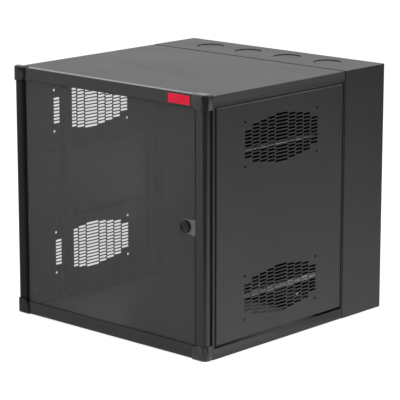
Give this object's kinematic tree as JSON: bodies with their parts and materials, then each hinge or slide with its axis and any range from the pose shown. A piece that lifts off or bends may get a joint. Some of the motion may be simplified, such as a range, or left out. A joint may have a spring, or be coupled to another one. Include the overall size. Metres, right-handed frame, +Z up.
{
  "type": "wall mount network cabinet",
  "caption": "Swing-out wall cabinet for rack equipment: wall section, vented main body hinged to it, rack rails and a windowed door in a metal frame with corner caps and a turning latch.",
  "frame": {"origin": "centre of the four wall screws, on the back face of the wall section", "axes": "+X to the right seen from the front, +Y towards the wall, +Z up"},
  "size_m": [0.6235, 0.6298, 0.594],
  "materials": {
    "black_powder": "fine-textured black powder coat",
    "rail_black": "satin black powder coat",
    "zinc": "bright zinc-plated steel",
    "black_plastic": "moulded black plastic, fine grain",
    "knob_plastic": "smooth black plastic",
    "latch_grey": "satin dark grey plastic",
    "smoked_window": "smoked clear acrylic sheet"
  },
  "bodies": {
    "wall_section": {"wall_shell": "black_powder", "wall_top_plate": "black_powder", "wall_bottom_plate": "black_powder", "hinge_leaves_wall": "black_powder", "hinge_pins": "zinc"},
    "main_body": {"body_top_pan": "black_powder", "body_bottom_pan": "black_powder", "face_strip_right": "black_powder", "face_strip_left": "black_powder", "front_post_right": "black_powder", "front_post_left": "black_powder", "rear_post_right": "black_powder", "rear_post_left": "black_powder", "side_panel_right": "black_powder", "side_panel_left": "black_powder", "rack_rail_right": "rail_black", "rack_rail_left": "rail_black", "rail_bolts": "zinc", "hinge_leaves_body": "black_powder", "hinge_tabs": "black_powder", "depth_brace_high_right": "zinc", "depth_brace_high_left": "zinc", "depth_brace_low_right": "zinc", "depth_brace_low_left": "zinc", "rail_bracket_high_right": "zinc", "rail_bracket_high_left": "zinc", "rail_bracket_low_right": "zinc", "rail_bracket_low_left": "zinc"},
    "door": {"door_stile_right": "black_powder", "door_stile_left": "black_powder", "door_rail_top": "black_powder", "door_rail_bottom": "black_powder", "door_caps_right": "black_plastic", "door_caps_left": "black_plastic", "door_pivots": "zinc", "door_window": "smoked_window", "window_clips": "zinc", "latch_plate": "latch_grey"},
    "door_latch": {"latch_knob": "knob_plastic", "latch_cam": "rail_black", "cam_screw": "zinc"},
    "swing_latch_upper": {"swing_latch_wing_upper": "black_plastic", "swing_latch_cam_upper": "zinc"},
    "swing_latch_lower": {"swing_latch_wing_lower": "black_plastic", "swing_latch_cam_lower": "zinc"}
  },
  "joints": [
    {"name": "main_body_swing", "type": "hinge", "parent": "wall_section", "child": "main_body", "pos_m": [-0.312, -0.149, 0], "axis": [0, 0, -1], "range_deg": [0, 90]},
    {"name": "door_swing", "type": "hinge", "parent": "main_body", "child": "door", "pos_m": [-0.294, -0.6155, 0], "axis": [0, 0, -1], "range_deg": [0, 110]},
    {"name": "door_latch_turn", "type": "hinge", "parent": "door", "child": "door_latch", "pos_m": [0.241, -0.6165, 0.002], "axis": [0, -1, 0], "range_deg": [0, 90]},
    {"name": "swing_latch_upper_turn", "type": "hinge", "parent": "main_body", "child": "swing_latch_upper", "pos_m": [0.28, -0.15, 0.12], "axis": [0, -1, 0], "range_deg": [0, 90]},
    {"name": "swing_latch_lower_turn", "type": "hinge", "parent": "main_body", "child": "swing_latch_lower", "pos_m": [0.28, -0.15, -0.12], "axis": [0, -1, 0], "range_deg": [0, 90]}
  ]
}
